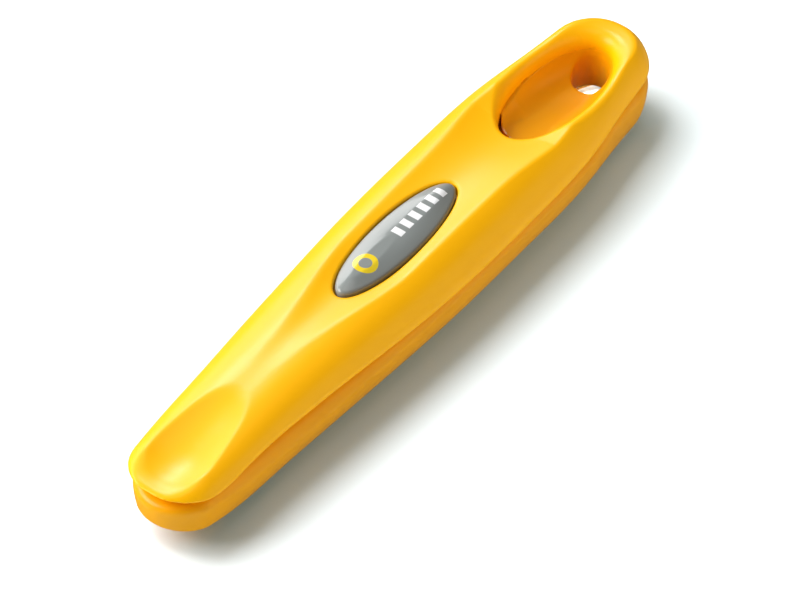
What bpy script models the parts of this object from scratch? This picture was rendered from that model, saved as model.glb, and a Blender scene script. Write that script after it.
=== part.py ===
"""Pair of nested plastic tyre levers with an oval finger ring, badge and rim pads."""

import math

import bmesh
import bpy
from mathutils import Vector

# All driving dimensions are in millimetres. X runs from the tip to the ring, Z is up.
MM = 0.001
HALF_LENGTH = 60.0
PART_Z = 10.0
HALF_GAP = 0.15
TIP_GAP_START = -48.0
TIP_GAP_LENGTH = 12.0
UPPER_TIP_GAP = 1.9
LOWER_TIP_GAP = 0.6
HALF_WIDTH = ((-60, 6.6), (-50, 8.15), (-35, 9.25), (-18, 10.5), (0, 11.55), (18, 11.75), (34, 11.3),
              (48, 9.2), (60, 8.0))
CROWN_TOP = ((-60, 13.3), (-40, 15.4), (-8, 16.5), (24, 17.3), (60, 16.3))
EDGE_BAND = ((-60, 5.9), (-50, 6.4), (-38, 7.7), (-20, 9.1), (0, 10.0), (20, 10.6), (34, 9.3),
             (48, 5.9), (60, 5.0))
TIP_CORNER = 6.6
RING_CORNER = 7.9
LOWER_INSET_TIP = 0.7
LOWER_INSET_RING = 0.2
UNDERSIDE_START = -25.0
UNDERSIDE_RISE = 4.5
HEEL_START = 42.0
HEEL_RISE = 2.6

# Half-width squared, along X, of the leaf-shaped hollow in the crown and of the tip's scoop.
LEAF = ((-34, -4.0), (-29.5, 0), (-27, 1.7), (-23, 6.3), (-19, 12), (-15, 19.4), (-11, 28), (-7, 35), (0, 38),
        (10, 40), (21, 45), (29, 59), (36, 69))
SCOOP = ((-61, -20), (-58.8, 0), (-57.5, 11), (-56.4, 17.5), (-54.3, 24), (-52, 26), (-48.5, 23), (-46, 19.4),
         (-43, 14.4), (-41, 9.6), (-39.4, 4.4), (-38.3, 0), (-36, -12))
LEAF_CUP = ((-30, 0.05), (-22, 0.045), (-12, 0.032), (0, 0.024), (30, 0.020))
SCOOP_CUP = 0.060
LEAF_END = 30.0
LEAF_FADE = 8.0
LEAF_END_SQUARED = 59.0

RING_X = 40.8
RING_A = 12.8
RING_B = 6.0
RING_FILLET = 2.6
RING_TOP = 16.5
BOSS_X = 41.95
BOSS_A = 12.15
BOSS_B = 6.9
BOSS_TOP = 12.65
BOWL_ROUND = 4.4
BOWL_RAMP = ((28, 12.7), (30, 12.3), (33, 11.6), (36, 10.9), (40, 10.1), (44, 9.5), (48, 9.2), (54, 9.2))
HOLE_X = 50.3
HOLE_R = 3.0
DISH_X = 46.3
DISH_A = 10.8
DISH_B = 6.0
DISH_TOP = 4.8
DISH_ROUND = 1.5

BADGE_X = -0.25
BADGE_A = 14.1
BADGE_B = 4.0
BADGE_BOTTOM = 14.5
BADGE_EDGE = 15.9
BADGE_CROWN = 16.7

SPINE_X0 = -27.0
SPINE_X1 = 21.0
SPINE_HALF = 4.0
SPINE_TOP = 12.6
CHANNEL_SIDE = 0.5
CHANNEL_TOP = 12.95
BEAD_R = 0.5
BEAD_PROUD = 0.2
BEAD_LENGTH = 9.0

PAD_X = -39.5
PAD_HALF_LENGTH = 7.0
PAD_HALF_WIDTH = 4.2
PAD_THICK = 0.9
FIT_GAP = 0.3

STATIONS = 60
ACROSS = 24


def clear_scene():
    for item in list(bpy.data.objects):
        bpy.data.objects.remove(item, do_unlink=True)


def curve(knots, x):
    count = len(knots)
    x = min(max(x, knots[0][0]), knots[-1][0])
    i = 0
    while i < count - 2 and x > knots[i + 1][0]:
        i += 1
    slopes = []
    for k in (i, i + 1):
        lo = max(k - 1, 0)
        hi = min(k + 1, count - 1)
        slopes.append((knots[hi][1] - knots[lo][1]) / (knots[hi][0] - knots[lo][0]))
    h = knots[i + 1][0] - knots[i][0]
    t = (x - knots[i][0]) / h
    a = (2 * t**3 - 3 * t**2 + 1) * knots[i][1] + (t**3 - 2 * t**2 + t) * h * slopes[0]
    b = (3 * t**2 - 2 * t**3) * knots[i + 1][1] + (t**3 - t**2) * h * slopes[1]
    return a + b


def soft_min(a, b, k):
    h = min(max(0.5 + 0.5 * (b - a) / k, 0.0), 1.0)
    return b * (1 - h) + a * h - k * h * (1 - h)


def round_join(a, b, r):
    u = max(r + a, 0.0)
    v = max(r + b, 0.0)
    return min(-r, max(a, b)) + math.hypot(u, v)


def plan(x, y, inset):
    d = abs(y) - (curve(HALF_WIDTH, x) - inset)
    d = round_join(d, -HALF_LENGTH + inset - x, TIP_CORNER)
    return round_join(d, x - HALF_LENGTH + inset, RING_CORNER)


def half_width(x, inset):
    lo = 0.0
    hi = 14.0
    for _ in range(40):
        mid = 0.5 * (lo + hi)
        if plan(x, mid, inset) < 0:
            lo = mid
        else:
            hi = mid
    return lo


def crown(x, y, height, inset, m, n):
    band = curve(EDGE_BAND, x)
    q = min(max((band + plan(x, y, inset)) / band, 0.0), 1.0)
    return height * max(1 - q**m, 0.0) ** (1 / n)


def tip_gap(x, rise):
    return HALF_GAP + rise * min(max((TIP_GAP_START - x) / TIP_GAP_LENGTH, 0.0), 1.0) ** 1.5


def upper_face(x):
    return PART_Z + tip_gap(x, UPPER_TIP_GAP)


def lower_face(x):
    return PART_Z - tip_gap(x, LOWER_TIP_GAP)


def upper_crown(x, y):
    base = upper_face(x)
    return base + crown(x, y, curve(CROWN_TOP, x) - base, 0.0, 2.3, 2.1)


def hollow(width_squared, cup, x, y, end):
    """Floor of a cupped hollow that meets the crown along its outline."""
    w2 = curve(width_squared, min(x, end))
    return upper_crown(min(x, end), math.sqrt(max(w2, 0.0))) + cup * (y * y - w2)


def leaf_floor(x, y):
    cup = curve(LEAF_CUP, x)
    z = hollow(LEAF, cup, x, y, LEAF_END)
    t = min(max((x - LEAF_END) / LEAF_FADE, 0.0), 1.0)
    t = t * t * (3 - 2 * t)
    ring_floor = RING_TOP + cup * (y * y - LEAF_END_SQUARED)
    return z * (1 - t) + ring_floor * t


def upper_skin(x, y):
    z = soft_min(upper_crown(x, y), leaf_floor(x, y), 0.4)
    return max(soft_min(z, hollow(SCOOP, SCOOP_CUP, x, y, 0.0), 0.5), upper_face(x))


def lower_inset(x):
    return LOWER_INSET_TIP + (LOWER_INSET_RING - LOWER_INSET_TIP) * (x + HALF_LENGTH) / (2 * HALF_LENGTH)


def lower_skin(x, y):
    base = lower_face(x)
    z = base - crown(x, y, base + 0.8, lower_inset(x), 2.6, 2.4)
    tip = (UNDERSIDE_START - x) / (UNDERSIDE_START + HALF_LENGTH)
    heel = (x - HEEL_START) / (HALF_LENGTH - HEEL_START)
    lift = UNDERSIDE_RISE * max(tip, 0.0) ** 2 + HEEL_RISE * max(heel, 0.0) ** 1.5
    return min(-soft_min(-z, -lift, 0.8) if lift > 0 else max(z, 0.0), base)


def material(name, color, rough, coat):
    mat = bpy.data.materials.new(name)
    mat.use_nodes = True
    node = mat.node_tree.nodes["Principled BSDF"]
    node.inputs["Base Color"].default_value = (*color, 1.0)
    node.inputs["Roughness"].default_value = rough
    node.inputs["Coat Weight"].default_value = coat
    return mat


def make_object(name, bm, mat, smooth):
    bmesh.ops.remove_doubles(bm, verts=bm.verts, dist=1e-6)
    bmesh.ops.recalc_face_normals(bm, faces=bm.faces)
    mesh = bpy.data.meshes.new(name)
    bm.to_mesh(mesh)
    bm.free()
    if smooth:
        for face in mesh.polygons:
            face.use_smooth = True
    obj = bpy.data.objects.new(name, mesh)
    bpy.context.collection.objects.link(obj)
    if mat:
        mesh.materials.append(mat)
    return obj


def shell(name, face, skin, inset, mat):
    """Solid between a flat mating face and a crowned skin over the lever plan."""
    bm = bmesh.new()
    rows = []
    start = -HALF_LENGTH + inset(-HALF_LENGTH)
    end = HALF_LENGTH - inset(HALF_LENGTH)
    for i in range(STATIONS + 1):
        x = 0.5 * (start + end) - 0.5 * (end - start) * math.cos(math.pi * i / STATIONS)
        w = half_width(x, inset(x))
        row = []
        for j in range(ACROSS + 1):
            y = w * math.sin(0.5 * math.pi * (2 * j / ACROSS - 1))
            edge = j in (0, ACROSS) or i in (0, STATIONS)
            z = face(x) if edge else skin(x, y)
            row.append(bm.verts.new(Vector((x, y, z)) * MM))
        rows.append(row)
    for i in range(STATIONS):
        for j in range(ACROSS):
            bm.faces.new((rows[i][j], rows[i][j + 1], rows[i + 1][j + 1], rows[i + 1][j]))
        bm.faces.new((rows[i][0], rows[i][ACROSS], rows[i + 1][ACROSS], rows[i + 1][0]))
    return make_object(name, bm, mat, True)


def stack(name, levels, mat, smooth, segments=64):
    """Closed solid from stacked oval rings; each level is (cx, a, b, z or z function)."""
    bm = bmesh.new()
    rings = []
    for cx, a, b, z in levels:
        ring = []
        for k in range(segments):
            t = 2 * math.pi * k / segments
            x = cx + a * math.cos(t)
            y = b * math.sin(t)
            height = z(x, y) if callable(z) else z
            ring.append(bm.verts.new(Vector((x, y, height)) * MM))
        rings.append(ring)
    for lower, upper in zip(rings, rings[1:]):
        for k in range(segments):
            n = (k + 1) % segments
            bm.faces.new((lower[k], lower[n], upper[n], upper[k]))
    bm.faces.new(list(reversed(rings[0])))
    bm.faces.new(rings[-1])
    return make_object(name, bm, mat, smooth)


def slot(name, cx, half_length, half_w, z0, z1, mat=None):
    """Upright prism with straight sides and fully round ends."""
    bm = bmesh.new()
    outline = []
    for side, centre in ((1, cx + half_length - half_w), (-1, cx - half_length + half_w)):
        for k in range(13):
            t = math.pi * (k / 12 - 0.5)
            outline.append((centre + side * half_w * math.cos(t), side * half_w * math.sin(t)))
    base = [bm.verts.new(Vector((x, y, z0)) * MM) for x, y in outline]
    floor = bm.faces.new(base)
    grown = bmesh.ops.extrude_face_region(bm, geom=[floor])
    tops = [v for v in grown["geom"] if isinstance(v, bmesh.types.BMVert)]
    bmesh.ops.translate(bm, verts=tops, vec=Vector((0, 0, z1 - z0)) * MM)
    return make_object(name, bm, mat, False)


def rod(name, p0, p1, radius, sides):
    bm = bmesh.new()
    a = Vector(p0) * MM
    b = Vector(p1) * MM
    turn = (b - a).to_track_quat("Z", "Y").to_matrix().to_4x4()
    turn.translation = (a + b) / 2
    bmesh.ops.create_cone(bm, cap_ends=True, segments=sides, radius1=radius * MM, radius2=radius * MM,
                          depth=(b - a).length, matrix=turn)
    return make_object(name, bm, None, False)


def cut(target, tool, operation="DIFFERENCE"):
    mod = target.modifiers.new(tool.name, "BOOLEAN")
    mod.operation = operation
    mod.solver = "EXACT"
    mod.object = tool
    tool.hide_render = True
    tool.display_type = "WIRE"


def ring_cutter():
    """Oval prism that flares out along the rounded inner edge of the finger ring."""
    levels = [(RING_X, RING_A, RING_B, PART_Z - 1.5)]
    for k in range(7):
        t = math.radians(11.5 * k)
        grow = RING_FILLET * (1 - math.cos(t))
        drop = RING_FILLET * (1 - math.sin(t))
        levels.append((RING_X, RING_A + grow, RING_B + grow, lambda x, y, drop=drop: upper_skin(x, y) - drop))
    grow = grow + 1.0
    levels.append((RING_X, RING_A + grow, RING_B + grow, lambda x, y: upper_skin(x, y) + 0.32))
    levels.append((RING_X, RING_A + grow, RING_B + grow, 20.0))
    return stack("ring_cutter", levels, None, False)


def bowl_floor(x, r):
    """Ramp down to the lanyard hole; r runs from 0 on the centre line to 1 at the ring's wall."""
    radius = 0.3 + (BOWL_ROUND - 0.3) * min(max((x - 29) / 8, 0.0), 1.0)
    u = min(max(radius - (1 - r) * RING_B, 0.0), 0.98 * radius)
    return curve(BOWL_RAMP, x) + radius - math.sqrt(radius**2 - u * u)


def bowl_cutter():
    """Room above the bowl, with round sides that meet the ring's wall."""
    levels = []
    for k in range(10):
        r = math.sin(0.5 * math.pi * (k + 1) / 10)
        levels.append((RING_X, RING_A * r, RING_B * r, lambda x, y, r=r: bowl_floor(x, r)))
    levels.append((RING_X, RING_A, RING_B, PART_Z + 8))
    return stack("bowl_cutter", levels, None, False)


def dish_cutter():
    """Flat oval recess in the underside below the lanyard hole."""
    levels = [(DISH_X, DISH_A + 0.3, DISH_B + 0.3, -1.0), (DISH_X, DISH_A, DISH_B, 0.3)]
    for k in range(5):
        t = 0.5 * math.pi * k / 4
        inset = DISH_ROUND * (1 - math.cos(t))
        levels.append((DISH_X, DISH_A - inset, DISH_B - inset, DISH_TOP - DISH_ROUND * (1 - math.sin(t))))
    return stack("dish_cutter", levels, None, False)


clear_scene()

yellow = material("yellow_nylon", (0.95, 0.55, 0.01), 0.3, 0.2)
grey = material("badge_grey", (0.25, 0.27, 0.27), 0.2, 0.8)
rubber = material("rim_pad_rubber", (0.05, 0.05, 0.055), 0.7, 0.0)

upper = shell("upper_lever", upper_face, upper_skin, lambda x: 0.0, yellow)
lower = shell("lower_lever", lower_face, lower_skin, lower_inset, yellow)

spine_mid = 0.5 * (SPINE_X0 + SPINE_X1)
spine_len = 0.5 * (SPINE_X1 - SPINE_X0)
spine = slot("spine", spine_mid, spine_len, SPINE_HALF, PART_Z - 2.0, SPINE_TOP)
cut(lower, spine, "UNION")
for side in (-1, 1):
    y = side * (SPINE_HALF + BEAD_PROUD - BEAD_R)
    z = PART_Z + 1.4
    label = "bead_a" if side < 0 else "bead_b"
    bead = rod(label, (spine_mid - BEAD_LENGTH / 2, y, z), (spine_mid + BEAD_LENGTH / 2, y, z), BEAD_R, 12)
    cut(lower, bead, "UNION")
boss = [(BOSS_X, BOSS_A, BOSS_B, PART_Z - 2.0), (BOSS_X, BOSS_A, BOSS_B, BOSS_TOP)]
cut(lower, stack("boss", boss, None, False), "UNION")
cut(lower, bowl_cutter())
cut(lower, dish_cutter())
cut(lower, rod("lanyard_cutter", (HOLE_X, 0, -1), (HOLE_X, 0, PART_Z + 4), HOLE_R, 40))
pocket = PAD_THICK + FIT_GAP
cut(lower, slot("lower_pad_cutter", PAD_X, PAD_HALF_LENGTH + FIT_GAP, PAD_HALF_WIDTH + FIT_GAP,
                PART_Z - HALF_GAP - pocket, PART_Z + 1.0))

cut(upper, ring_cutter())
seat_top = BOSS_TOP + FIT_GAP
seat = [(BOSS_X, BOSS_A + FIT_GAP, BOSS_B + FIT_GAP, z) for z in (PART_Z - 1, seat_top)]
cut(upper, stack("boss_seat_cutter", seat, None, False))
cut(upper, slot("channel_cutter", spine_mid, spine_len + CHANNEL_SIDE, SPINE_HALF + CHANNEL_SIDE,
                PART_Z - 1.0, CHANNEL_TOP))
cut(upper, slot("upper_pad_cutter", PAD_X, PAD_HALF_LENGTH + FIT_GAP, PAD_HALF_WIDTH + FIT_GAP,
                PART_Z - 1.0, PART_Z + HALF_GAP + pocket))
cut(upper, stack("badge_cutter", [(BADGE_X, BADGE_A + FIT_GAP, BADGE_B + FIT_GAP, BADGE_BOTTOM - FIT_GAP),
                                  (BADGE_X, BADGE_A + FIT_GAP, BADGE_B + FIT_GAP, 19.0)], None, False))

badge_levels = [(BADGE_X, BADGE_A, BADGE_B, BADGE_BOTTOM), (BADGE_X, BADGE_A, BADGE_B, BADGE_EDGE)]
for step in range(1, 8):
    t = 0.5 * math.pi * step / 8
    badge_levels.append((BADGE_X, BADGE_A * math.cos(t), BADGE_B * math.cos(t),
                         BADGE_EDGE + (BADGE_CROWN - BADGE_EDGE) * math.sin(t)))
badge = stack("badge", badge_levels, grey, True, 48)

upper_pad = slot("upper_rim_pad", PAD_X, PAD_HALF_LENGTH, PAD_HALF_WIDTH, PART_Z + HALF_GAP,
                 PART_Z + HALF_GAP + PAD_THICK, rubber)
lower_pad = slot("lower_rim_pad", PAD_X, PAD_HALF_LENGTH, PAD_HALF_WIDTH, PART_Z - HALF_GAP - PAD_THICK,
                 PART_Z - HALF_GAP, rubber)

lift = bpy.data.objects.new("upper_lift", None)
lift.empty_display_size = 0.02
lift.location = (0.0, 0.0, PART_Z * MM)
bpy.context.collection.objects.link(lift)
for rider in (upper, badge, upper_pad):
    rider.parent = lift
    rider.location = -lift.location
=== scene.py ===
"""Nested pair of yellow tyre levers on a pale floor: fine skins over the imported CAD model."""

import math

import bpy
import numpy as np
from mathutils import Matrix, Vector


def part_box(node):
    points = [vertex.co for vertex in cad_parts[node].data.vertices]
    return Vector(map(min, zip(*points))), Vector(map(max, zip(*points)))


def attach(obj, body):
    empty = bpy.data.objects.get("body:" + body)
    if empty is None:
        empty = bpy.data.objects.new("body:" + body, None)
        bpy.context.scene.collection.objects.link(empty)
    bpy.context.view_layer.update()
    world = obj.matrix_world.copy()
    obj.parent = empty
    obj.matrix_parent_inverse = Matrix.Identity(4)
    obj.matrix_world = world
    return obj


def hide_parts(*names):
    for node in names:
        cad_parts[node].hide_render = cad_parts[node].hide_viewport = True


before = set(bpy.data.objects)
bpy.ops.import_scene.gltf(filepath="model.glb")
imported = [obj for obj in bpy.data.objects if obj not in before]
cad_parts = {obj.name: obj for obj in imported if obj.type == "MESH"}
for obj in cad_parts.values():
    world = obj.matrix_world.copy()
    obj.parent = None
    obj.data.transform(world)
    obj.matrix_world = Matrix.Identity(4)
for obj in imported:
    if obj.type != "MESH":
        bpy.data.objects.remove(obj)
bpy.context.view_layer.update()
MM = 0.001


def mm_box(node):
    lo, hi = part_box(node)
    return np.array(lo) / MM, np.array(hi) / MM


UPPER_LO, UPPER_HI = mm_box("upper_lever")
LOWER_LO, LOWER_HI = mm_box("lower_lever")
BADGE_LO, BADGE_HI = mm_box("badge")
UPAD_LO, UPAD_HI = mm_box("upper_rim_pad")
LPAD_LO, LPAD_HI = mm_box("lower_rim_pad")

# Everything below is in millimetres until a mesh is written.
HALF_LENGTH = 0.5 * (UPPER_HI[0] - UPPER_LO[0])
PART_Z = 0.5 * (UPAD_LO[2] + LPAD_HI[2])
SKIN_GAP = 0.04
TIP_GAP_START, TIP_GAP_LENGTH, UPPER_TIP_GAP, LOWER_TIP_GAP = -48.0, 12.0, 2.0, 0.6
SPINE_TOP = 12.6
SPINE_MID, SPINE_HALF_LENGTH, SPINE_HALF_WIDTH = -3.0, 24.0, 4.0
CHANNEL_SIDE, CHANNEL_DEPTH = 0.5, 0.35
RING_X, RING_A, RING_B = 40.8, 12.8, 6.0
RING_TOP = 16.5
BOSS_X, BOSS_A, BOSS_B, BOSS_TOP, BOWL_ROUND = 41.95, 12.15, 6.9, 12.8, 4.4
DISH_X, DISH_A, DISH_B, DISH_TOP = 46.3, 10.8, 6.0, 4.8
HEEL_START, HEEL_RISE = 42.0, 2.6
CHIN_START, CHIN_RISE = -25.0, 4.5
HOLE_X, HOLE_R = 50.3, 3.0
FIT_GAP = 0.3
# Printed marks on the badge, measured from its middle.
BARS_MID, BAR_COUNT, BAR_PITCH, BAR_WIDTH, BAR_LENGTH = 5.8, 6, 2.1, 1.2, 2.0
SPOT_X, SPOT_R, SPOT_LINE = -7.6, 1.5, 0.9


def smooth_curve(*knots):
    """Cubic through the knots, level beyond both ends."""
    xs = np.array([k[0] for k in knots], float)
    ys = np.array([k[1] for k in knots], float)
    slope = np.gradient(ys, xs)

    def value(x):
        x = np.clip(x, xs[0], xs[-1])
        i = np.clip(np.searchsorted(xs, x) - 1, 0, len(xs) - 2)
        h = xs[i + 1] - xs[i]
        t = (x - xs[i]) / h
        left = (2 * t**3 - 3 * t**2 + 1) * ys[i] + (t**3 - 2 * t**2 + t) * h * slope[i]
        return left + (3 * t**2 - 2 * t**3) * ys[i + 1] + (t**3 - t**2) * h * slope[i + 1]

    return value


half_width = smooth_curve((-60, 6.6), (-50, 8.15), (-35, 9.25), (-18, 10.5), (0, 11.55), (18, 11.75),
                          (34, 11.3), (48, 9.2), (60, 8.0))
crown_top = smooth_curve((-60, 13.3), (-40, 15.4), (-8, 16.5), (24, 17.3), (60, 16.3))
edge_band = smooth_curve((-60, 5.9), (-50, 6.4), (-38, 7.7), (-20, 9.1), (0, 10.0), (20, 10.6),
                         (34, 9.3), (48, 5.9), (60, 5.0))
# Half-width squared of the long leaf-shaped hollow and of the tip's scoop.
leaf = smooth_curve((-34, -4.0), (-29.5, 0), (-27, 1.7), (-23, 6.3), (-19, 12), (-15, 19.4), (-11, 28),
                    (-7, 35), (0, 38), (10, 40), (21, 45), (29, 59), (36, 69))
scoop = smooth_curve((-61, -20), (-58.8, 0), (-57.5, 11), (-56.4, 17.5), (-54.3, 24), (-52, 26), (-48.5, 23),
                     (-46, 19.4), (-43, 14.4), (-41, 9.6), (-39.4, 4.4), (-38.3, 0), (-36, -12))
leaf_cup = smooth_curve((-30, 0.05), (-22, 0.045), (-12, 0.032), (0, 0.024), (30, 0.020))
SCOOP_CUP = 0.043
LEAF_END, LEAF_FADE, LEAF_END_SQUARED = 30.0, 8.0, 59.0
upper_edge = smooth_curve((-60, 0.5), (-54, 0.7), (-46, 2.5), (-30, 2.8), (-10, 1.6), (36, 1.5), (60, 2.4))
lower_edge = smooth_curve((-60, 1.0), (-52, 2.0), (-44, 3.2), (-30, 3.2), (-10, 1.8), (36, 1.5), (60, 2.2))
bowl_ramp = smooth_curve((28, 12.7), (30, 12.3), (33, 11.6), (36, 10.9), (40, 10.1), (44, 9.5),
                         (48, 9.2), (54, 9.2))


def outer(a, b, r):
    """Intersection of two solids whose shared edge is rounded to radius r."""
    u = np.maximum(r + a, 0)
    v = np.maximum(r + b, 0)
    return np.minimum(-r, np.maximum(a, b)) + np.sqrt(u * u + v * v)


def joined(a, b, r):
    """Union of two solids with a fillet of radius r between them."""
    return -outer(-a, -b, r)


def soft_max(a, b, k):
    h = np.clip(0.5 - 0.5 * (b - a) / k, 0, 1)
    return b * (1 - h) + a * h + k * h * (1 - h)


def plan(x, y, inset):
    d = np.abs(y) - (half_width(x) - inset)
    d = outer(d, -HALF_LENGTH + inset - x, 6.6 - inset)
    return outer(d, x - HALF_LENGTH + inset, 7.9 - inset)


def oval(x, y, cx, a, b):
    px, py = (x - cx) / a, y / b
    q = np.sqrt(px * px + py * py)
    g = np.sqrt((px / a) ** 2 + (py / b) ** 2)
    return np.where(q < 1e-4, -b, (q - 1) * q / np.maximum(g, 1e-6))


def slot(x, y, cx, half_length, half_w):
    return np.hypot(np.maximum(np.abs(x - cx) - (half_length - half_w), 0), y) - half_w


def crown(x, y, rise, height, inset, m, n):
    """Rounded hull: upright at the outline, level over the middle."""
    d = plan(x, y, inset)
    band = edge_band(x)
    q = np.maximum((band + d) / band, 0)
    r = (q**m + np.maximum(rise / height, 0) ** n) ** (1 / 2.2)
    return np.maximum((r - 1) * np.minimum(band, height) * 0.8, d)


def tip_gap(x, rise):
    return SKIN_GAP + rise * np.clip((TIP_GAP_START - x) / TIP_GAP_LENGTH, 0, 1) ** 1.5


def crown_height(x, y):
    """Height of the bare crown, without its hollows."""
    base = PART_Z + tip_gap(x, UPPER_TIP_GAP)
    band = edge_band(x)
    q = np.clip((band + plan(x, y, 0.0)) / band, 0, 1)
    return base + (crown_top(x) - base) * (1 - q**2.3) ** (1 / 2.1)


GRID_X = np.linspace(-62, 62, 1241)


def rim_height(width_squared, end):
    """Crown height along a hollow's outline, for each x."""
    x = np.minimum(GRID_X, end)
    return crown_height(x, np.sqrt(np.maximum(width_squared(x), 0)))


fade = np.clip((GRID_X - LEAF_END) / LEAF_FADE, 0, 1)
fade = fade * fade * (3 - 2 * fade)
leaf_rim = rim_height(leaf, LEAF_END) * (1 - fade) + RING_TOP * fade
scoop_rim = rim_height(scoop, 0.0)


def leaf_floor(x, y):
    width_squared = np.where(x > LEAF_END, LEAF_END_SQUARED, leaf(x))
    return np.interp(x, GRID_X, leaf_rim) + leaf_cup(x) * (y * y - width_squared)


def scoop_floor(x, y):
    return np.interp(x, GRID_X, scoop_rim) + SCOOP_CUP * (y * y - scoop(x))


def boss_plan(x, y, grow):
    return oval(x, y, BOSS_X, BOSS_A + grow, BOSS_B + grow)


def badge_plate(x, y, grow):
    cx = 0.5 * (BADGE_LO[0] + BADGE_HI[0])
    return oval(x, y, cx, 0.5 * (BADGE_HI[0] - BADGE_LO[0]) + grow, 0.5 * (BADGE_HI[1] - BADGE_LO[1]) + grow)


def pad_plan(x, y, grow):
    cx = 0.5 * (UPAD_LO[0] + UPAD_HI[0])
    return slot(x, y, cx, 0.5 * (UPAD_HI[0] - UPAD_LO[0]) + grow, 0.5 * (UPAD_HI[1] - UPAD_LO[1]) + grow)


def edge_round(x, d, radius):
    """Radius of the edge along the parting plane: tiny inside the ring, wide along the flanks."""
    return 0.05 + (radius(x) - 0.05) * np.clip((d - 1.2) / 2, 0, 1)


def upper_body(x, y, z):
    base = PART_Z + tip_gap(x, UPPER_TIP_GAP)
    f = crown(x, y, z - base, crown_top(x) - base, 0.0, 2.3, 2.1)
    f = soft_max(f, z - leaf_floor(x, y), 0.35)
    f = soft_max(f, z - scoop_floor(x, y), 0.25 + 0.65 * np.clip((-54 - x) / 4, 0, 1))
    ring = oval(x, y, RING_X, RING_A, RING_B)
    f = outer(f, -ring, 0.8 + 1.6 * np.clip((x - 29) / 7, 0, 1))
    f = outer(f, base - z, edge_round(x, ring, upper_edge))
    f = np.maximum(f, -np.maximum(boss_plan(x, y, SKIN_GAP), z - BOSS_TOP - 0.5 * SKIN_GAP))
    channel = slot(x, y, SPINE_MID, SPINE_HALF_LENGTH + CHANNEL_SIDE, SPINE_HALF_WIDTH + CHANNEL_SIDE)
    channel = np.maximum(channel, z - SPINE_TOP - CHANNEL_DEPTH)
    f = outer(f, -channel, 0.3)
    f = outer(f, -np.maximum(pad_plan(x, y, FIT_GAP), z - UPAD_HI[2] - FIT_GAP), 0.2)
    return outer(f, -np.maximum(badge_plate(x, y, FIT_GAP), BADGE_LO[2] - FIT_GAP - z), 0.35)


def bowl(x, y, z):
    """Room above the ramp that runs down to the lanyard hole, rounded up along its sides."""
    round_up = 0.3 + (BOWL_ROUND - 0.3) * np.clip((x - 29) / 8, 0, 1)
    return outer(oval(x, y, RING_X, RING_A, RING_B), bowl_ramp(x) - z, round_up)


def lower_body(x, y, z):
    base = PART_Z - tip_gap(x, LOWER_TIP_GAP)
    inset = 0.7 - 0.5 * (x + HALF_LENGTH) / (2 * HALF_LENGTH)
    f = crown(x, y, base - z, base + 0.8, inset, 2.6, 2.4)
    heel = HEEL_RISE * np.clip((x - HEEL_START) / (HALF_LENGTH - HEEL_START), 0, 1) ** 1.5
    chin = CHIN_RISE * np.clip((CHIN_START - x) / (CHIN_START + HALF_LENGTH), 0, 1) ** 2
    f = outer(f, chin + heel - z, 1.2)
    boss = boss_plan(x, y, 0.0)
    f = outer(f, z - base, edge_round(x, boss, lower_edge))
    spine = outer(slot(x, y, SPINE_MID, SPINE_HALF_LENGTH, SPINE_HALF_WIDTH), z - SPINE_TOP, 0.5)
    f = joined(f, np.maximum(spine, PART_Z - 2 - z), 0.2)
    bead = np.hypot(np.abs(y) - SPINE_HALF_WIDTH + 0.3, z - PART_Z - 1.4) - 0.5
    f = joined(f, outer(bead, np.abs(x - SPINE_MID) - 4.5, 0.3), 0.1)
    f = np.minimum(f, np.maximum(np.maximum(boss, z - BOSS_TOP), 6 - z))
    f = np.maximum(f, -bowl(x, y, z))
    f = outer(f, -(np.hypot(x - HOLE_X, y) - HOLE_R), 0.3)
    dish = outer(oval(x, y, DISH_X, DISH_A, DISH_B), z - DISH_TOP, 1.5)
    f = outer(f, -dish, 0.5)
    return outer(f, -np.maximum(pad_plan(x, y, FIT_GAP), LPAD_LO[2] - FIT_GAP - z), 0.2)


def badge_body(x, y, z):
    edge = badge_plate(x, y, 0.0)
    half_b = 0.5 * (BADGE_HI[1] - BADGE_LO[1])
    dome = BADGE_HI[2] - 0.9 * np.clip(1 + edge / half_b, 0, 1.2) ** 2
    return outer(outer(edge, z - dome, 0.4), BADGE_LO[2] - z, 0.15)


def pad_body(lo, hi):
    def field(x, y, z):
        return outer(outer(pad_plan(x, y, 0.0), z - hi[2], 0.2), lo[2] - z, 0.2)

    return field


def shift(a, o):
    """View of the node grid seen from a cell's corner o."""
    return a[tuple(slice(k, a.shape[i] - 1 + k) for i, k in enumerate(o))]


def spaced(lo, hi, step, fine):
    """Grid lines from lo to hi, closer together inside each (start, end, step) run of fine."""
    lines = [lo - 2.3 * step]
    while lines[-1] < hi + 2.3 * step:
        here = [s for a, b, s in fine if a < lines[-1] < b]
        lines.append(lines[-1] + (here[0] if here else step))
    return np.array(lines)


def crisp_rim(points, reach):
    """Points near the seam between ring and boss, moved onto its edge so that both rims stay sharp."""
    x, y, z = points.T
    near_wall = np.abs(oval(x, y, RING_X, RING_A, RING_B)) < reach
    seam_z = BOSS_TOP if z[near_wall].min(initial=99.0) < PART_Z - 1 else BOSS_TOP + 0.5 * SKIN_GAP
    on_seam = near_wall & (np.abs(z - seam_z) < reach)
    for _ in range(3):
        x, y = points[on_seam, 0], points[on_seam, 1]
        d = oval(x, y, RING_X, RING_A, RING_B)
        slope = np.stack([(x - RING_X) / RING_A**2, y / RING_B**2], 1)
        points[on_seam, :2] -= slope * (d / np.linalg.norm(slope, axis=1))[:, None]
    points[on_seam, 2] = seam_z


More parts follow.
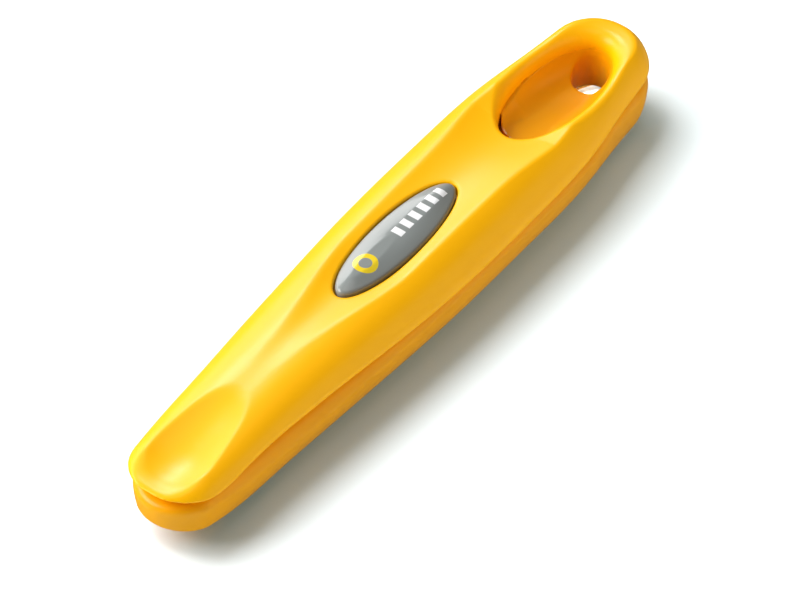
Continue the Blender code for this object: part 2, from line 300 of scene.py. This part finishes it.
def surface(field, lo, hi, step, fine):
    """Closed quad mesh of field = 0, one point in each crossed cell, drawn onto the surface."""
    axes = [spaced(lo[0], hi[0], step, fine)]
    side = min([step] + [run[2] for run in fine])
    axes += [spaced(lo[k], hi[k], side, ()) for k in (1, 2)]
    v = field(*np.meshgrid(*axes, indexing="ij"))
    total = np.zeros(tuple(n - 1 for n in v.shape) + (3,))
    count = np.zeros(total.shape[:3])
    for axis in range(3):
        for p in (0, 1):
            for q in (0, 1):
                o = [0, 0, 0]
                o[(axis + 1) % 3], o[(axis + 2) % 3] = p, q
                a = shift(v, o)
                o[axis] = 1
                b = shift(v, o)
                hit = (a < 0) != (b < 0)
                at = np.where(hit, a / np.where(a == b, 1, a - b), 0)
                total[..., axis] += at
                total[..., (axis + 1) % 3] += p * hit
                total[..., (axis + 2) % 3] += q * hit
                count += hit
    used = count > 0
    number = np.full(used.shape, -1)
    number[used] = np.arange(used.sum())
    cells = np.argwhere(used)
    points = cells + total[used] / count[used][:, None]
    points = np.stack([np.interp(points[:, k], np.arange(len(axes[k])), axes[k]) for k in range(3)], 1)
    inside = v < 0
    quads = []
    for axis in range(3):
        b, c = (axis + 1) % 3, (axis + 2) % 3
        near = np.take(inside, range(v.shape[axis] - 1), axis)
        far = np.take(inside, range(1, v.shape[axis]), axis)
        edge = np.argwhere(near != far)
        edge = edge[(edge[:, b] > 0) & (edge[:, c] > 0)]
        ring = []
        for db, dc in ((-1, -1), (0, -1), (0, 0), (-1, 0)):
            cell = edge.copy()
            cell[:, b] += db
            cell[:, c] += dc
            ring.append(number[tuple(cell.T)])
        ring = np.stack(ring, 1)
        outward = near[tuple(edge.T)]
        ring[~outward] = ring[~outward][:, ::-1]
        quads.append(ring)
    quads = np.concatenate(quads)
    points = drawn(field, points, side)
    ends = np.concatenate([quads[:, [0, 1]], quads[:, [1, 2]], quads[:, [2, 3]], quads[:, [3, 0]]])
    for _ in range(3):
        near_sum = np.zeros_like(points)
        near_count = np.zeros(len(points))
        np.add.at(near_sum, ends[:, 0], points[ends[:, 1]])
        np.add.at(near_count, ends[:, 0], 1)
        points = 0.5 * points + 0.5 * near_sum / near_count[:, None]
        points = drawn(field, points, side)
    if fine:
        crisp_rim(points, 0.6 * side)
    return points, quads


def drawn(field, points, step):
    """Points moved along the field's slope until they lie on the surface."""
    e = 0.02
    for _ in range(4):
        f = field(*points.T)
        slope = [(field(*(points + d).T) - field(*(points - d).T)) / (2 * e) for d in np.eye(3) * e]
        slope = np.stack(slope, 1)
        move = slope * (f / np.maximum((slope**2).sum(1), 0.05))[:, None]
        length = np.linalg.norm(move, axis=1)
        points = points - move * np.minimum(1, 0.4 * step / np.maximum(length, 1e-9))[:, None]
    return points


def skin(name, field, lo, hi, step, fine, mat, body, node):
    points, quads = surface(field, lo, hi, step, fine)
    mesh = bpy.data.meshes.new(name)
    mesh.from_pydata((points * MM).tolist(), [], quads.tolist())
    mesh.polygons.foreach_set("use_smooth", [True] * len(mesh.polygons))
    mesh.update()
    mesh.set_sharp_from_angle(angle=math.radians(50))
    mesh.materials.append(mat)
    mesh.update()
    obj = bpy.data.objects.new(name, mesh)
    bpy.context.scene.collection.objects.link(obj)
    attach(obj, body)
    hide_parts(node)
    return obj


def principled(name):
    mat = bpy.data.materials.new(name)
    mat.use_nodes = True
    tree = mat.node_tree
    return mat, tree, tree.nodes["Principled BSDF"]


def noise(tree, coord, scale, detail=3.0):
    node = tree.nodes.new("ShaderNodeTexNoise")
    node.inputs["Scale"].default_value = scale
    node.inputs["Detail"].default_value = detail
    tree.links.new(coord.outputs["Object"], node.inputs["Vector"])
    return node.outputs["Fac"]


def ramp(tree, source, stops):
    node = tree.nodes.new("ShaderNodeValToRGB")
    while len(node.color_ramp.elements) < len(stops):
        node.color_ramp.elements.new(0.5)
    for element, (at, color) in zip(node.color_ramp.elements, stops):
        element.position = at
        element.color = (*color, 1.0)
    tree.links.new(source, node.inputs["Fac"])
    return node.outputs["Color"]


def bump(tree, source, strength, distance):
    node = tree.nodes.new("ShaderNodeBump")
    node.inputs["Strength"].default_value = strength
    node.inputs["Distance"].default_value = distance
    tree.links.new(source, node.inputs["Height"])
    return node.outputs["Normal"]


def calc(tree, operation, a, b=0.0):
    node = tree.nodes.new("ShaderNodeMath")
    node.operation = operation
    for socket, value in zip(node.inputs, (a, b)):
        if isinstance(value, (int, float)):
            socket.default_value = value
        else:
            tree.links.new(value, socket)
    return node.outputs["Value"]


def under(tree, value, limit):
    """1 where value is below limit, 0 above, with a 0.06 mm soft edge."""
    node = tree.nodes.new("ShaderNodeMapRange")
    node.inputs["From Min"].default_value = (limit + 0.03) * MM
    node.inputs["From Max"].default_value = (limit - 0.03) * MM
    tree.links.new(value, node.inputs["Value"])
    return node.outputs["Result"]


def tint(tree, factor, base, color):
    node = tree.nodes.new("ShaderNodeMix")
    node.data_type = "RGBA"
    tree.links.new(factor, node.inputs[0])
    tree.links.new(base, node.inputs[6])
    node.inputs[7].default_value = (*color, 1.0)
    return node.outputs[2]


def badge_plastic(name):
    """Glossy grey with plain printed marks: a row of white bars and a yellow ring."""
    mat = nylon(name, (0.245, 0.265, 0.255), (0.265, 0.285, 0.275))
    tree = mat.node_tree
    shader = tree.nodes["Principled BSDF"]
    base = shader.inputs["Base Color"].links[0].from_socket
    coord = tree.nodes.new("ShaderNodeTexCoord")
    split = tree.nodes.new("ShaderNodeSeparateXYZ")
    tree.links.new(coord.outputs["Object"], split.inputs["Vector"])
    x, y = split.outputs["X"], split.outputs["Y"]
    centre = 0.5 * (BADGE_LO[0] + BADGE_HI[0])
    along = calc(tree, "SUBTRACT", x, (centre + BARS_MID) * MM)
    shift_x = calc(tree, "ADD", along, 0.5 * BAR_PITCH * BAR_COUNT * MM)
    phase = calc(tree, "FLOORED_MODULO", shift_x, BAR_PITCH * MM)
    across = calc(tree, "ABSOLUTE", calc(tree, "SUBTRACT", phase, 0.5 * BAR_PITCH * MM))
    bars = calc(tree, "MULTIPLY", under(tree, across, 0.5 * BAR_WIDTH),
                under(tree, calc(tree, "ABSOLUTE", y), 0.5 * BAR_LENGTH))
    row = under(tree, calc(tree, "ABSOLUTE", along), 0.5 * BAR_PITCH * BAR_COUNT)
    bars = calc(tree, "MULTIPLY", bars, row)
    ring_x = calc(tree, "SUBTRACT", x, (centre + SPOT_X) * MM)
    square = calc(tree, "ADD", calc(tree, "MULTIPLY", ring_x, ring_x), calc(tree, "MULTIPLY", y, y))
    off_ring = calc(tree, "ABSOLUTE", calc(tree, "SUBTRACT", calc(tree, "SQRT", square), SPOT_R * MM))
    base = tint(tree, bars, base, (0.9, 0.9, 0.9))
    base = tint(tree, under(tree, off_ring, 0.5 * SPOT_LINE), base, (0.85, 0.62, 0.02))
    tree.links.new(base, shader.inputs["Base Color"])
    shader.inputs["Coat Weight"].default_value = 0.7
    shader.inputs["Coat Roughness"].default_value = 0.12
    return mat


def nylon(name, low, high):
    mat, tree, shader = principled(name)
    coord = tree.nodes.new("ShaderNodeTexCoord")
    tone = noise(tree, coord, 60.0)
    tree.links.new(ramp(tree, tone, ((0.3, low), (0.7, high))), shader.inputs["Base Color"])
    gloss = noise(tree, coord, 400.0)
    rough = ramp(tree, gloss, ((0.2, (0.30,) * 3), (0.8, (0.36,) * 3)))
    tree.links.new(rough, shader.inputs["Roughness"])
    tree.links.new(bump(tree, noise(tree, coord, 900.0, 2.0), 0.05, 0.0001), shader.inputs["Normal"])
    shader.inputs["IOR"].default_value = 1.3
    return mat


upper_mat = nylon("yellow_upper", (0.96, 0.475, 0.0), (1.0, 0.495, 0.001))
# Same nylon as the upper lever; this darker, more orange copy is painted shade on the lower lever.
lower_mat_painted_shade = nylon("yellow_lower_painted_shade", (0.80, 0.345, 0.0), (0.84, 0.365, 0.001))
grey_mat = badge_plastic("badge_grey_gloss")
pad_mat = nylon("pad_rubber", (0.03, 0.03, 0.033), (0.05, 0.05, 0.055))

COARSE = 1.0
STEP = 0.40 * COARSE
FINE = ((-HALF_LENGTH, -50, 0.25 * COARSE), (26, HALF_LENGTH + 1, 0.22 * COARSE))
pieces = [
    skin("upper_lever_skin", upper_body, UPPER_LO, UPPER_HI, STEP, FINE, upper_mat, "upper", "upper_lever"),
    skin("lower_lever_skin", lower_body, LOWER_LO, LOWER_HI, STEP, FINE, lower_mat_painted_shade, "lower", "lower_lever"),
    skin("badge_dome", badge_body, BADGE_LO, BADGE_HI, 0.2, (), grey_mat, "upper", "badge"),
    skin("upper_pad_skin", pad_body(UPAD_LO, UPAD_HI), UPAD_LO, UPAD_HI, 0.25, (), pad_mat, "upper",
         "upper_rim_pad"),
    skin("lower_pad_skin", pad_body(LPAD_LO, LPAD_HI), LPAD_LO, LPAD_HI, 0.25, (), pad_mat, "lower",
         "lower_rim_pad"),
]

# Floor, light and camera.
scene = bpy.context.scene
scene.view_settings.view_transform = "Standard"

floor_mat, _, floor_shader = principled("pale_floor")
floor_shader.inputs["Base Color"].default_value = (0.60, 0.63, 0.645, 1.0)
floor_shader.inputs["Roughness"].default_value = 0.6
floor_mesh = bpy.data.meshes.new("floor")
floor_mesh.from_pydata([(-2, -2, 0), (2, -2, 0), (2, 2, 0), (-2, 2, 0)], [], [(0, 1, 2, 3)])
floor_mesh.materials.append(floor_mat)
floor = bpy.data.objects.new("floor", floor_mesh)
scene.collection.objects.link(floor)
floor.visible_glossy = False

world = bpy.data.worlds.new("studio")
world.use_nodes = True
world.node_tree.nodes["Background"].inputs["Color"].default_value = (1.0, 1.0, 1.0, 1.0)
world.node_tree.nodes["Background"].inputs["Strength"].default_value = 0.11
scene.world = world


def area_light(name, at, size, power):
    data = bpy.data.lights.new(name, "AREA")
    data.shape = "RECTANGLE"
    data.size, data.size_y = size
    data.energy = power
    obj = bpy.data.objects.new(name, data)
    obj.location = at
    obj.rotation_mode = "QUATERNION"
    obj.rotation_quaternion = (-Vector(at)).to_track_quat("-Z", "Y")
    scene.collection.objects.link(obj)
    return obj


area_light("key", (-0.36, 0.44, 0.48), (0.5, 0.4), 7.0)
area_light("back", (0.18, 0.66, 0.32), (0.8, 0.35), 3.6)
area_light("top", (0.0, 0.0, 0.75), (0.4, 0.4), 0.8)

# Two lights reach the levers alone: a warm card for the shaded flanks, and a card that only shows as a
# sheen in the scoop and along the top. Three reach the floor alone: one gives the soft shadow its depth,
# one cools it, one lies under the lanyard hole.
levers_only = bpy.data.collections.new("levers_only")
for obj in pieces[:2]:
    levers_only.objects.link(obj)
fill = area_light("fill", (0.25, -0.6, 0.25), (0.6, 0.4), 2.1)
fill.data.color = (1.0, 0.82, 0.3)
fill.light_linking.receiver_collection = levers_only
sheen = area_light("sheen", (0.30, 0.41, 0.55), (0.26, 0.2), 4.0)
sheen.visible_diffuse = False
sheen.light_linking.receiver_collection = levers_only
floor_only = bpy.data.collections.new("floor_only")
floor_only.objects.link(floor)
floor_key = area_light("floor_key", (-0.06, 0.285, 0.655), (0.38, 0.38), 7.2)
floor_key.light_linking.receiver_collection = floor_only
floor_cool = area_light("floor_cool", (0.45, -0.5, 0.35), (0.5, 0.5), 3.0)
floor_cool.data.color = (0.55, 0.9, 0.85)
floor_cool.light_linking.receiver_collection = floor_only
under_hole = area_light("under_hole", (0.0548, 0.0034, 0.0028), (0.003, 0.003), 0.0020)
under_hole.data.spread = math.radians(60)
under_hole.light_linking.receiver_collection = floor_only
under_hole.rotation_quaternion = (1, 0, 0, 0)

AZIMUTH, ELEVATION = math.radians(-53.18), math.radians(46.84)
DISTANCE = 0.7569
back = Vector((math.sin(AZIMUTH) * math.cos(ELEVATION), -math.cos(AZIMUTH) * math.cos(ELEVATION),
               math.sin(ELEVATION)))
camera_data = bpy.data.cameras.new("camera")
camera_data.lens = 227.2
camera_data.sensor_width = 36.0
camera_data.clip_start = 0.01
camera = bpy.data.objects.new("camera", camera_data)
camera.location = Vector((-0.00429, -0.00377, 0.008)) + back * DISTANCE
camera.rotation_mode = "QUATERNION"
camera.rotation_quaternion = (-back).to_track_quat("-Z", "Y")
scene.collection.objects.link(camera)
scene.camera = camera
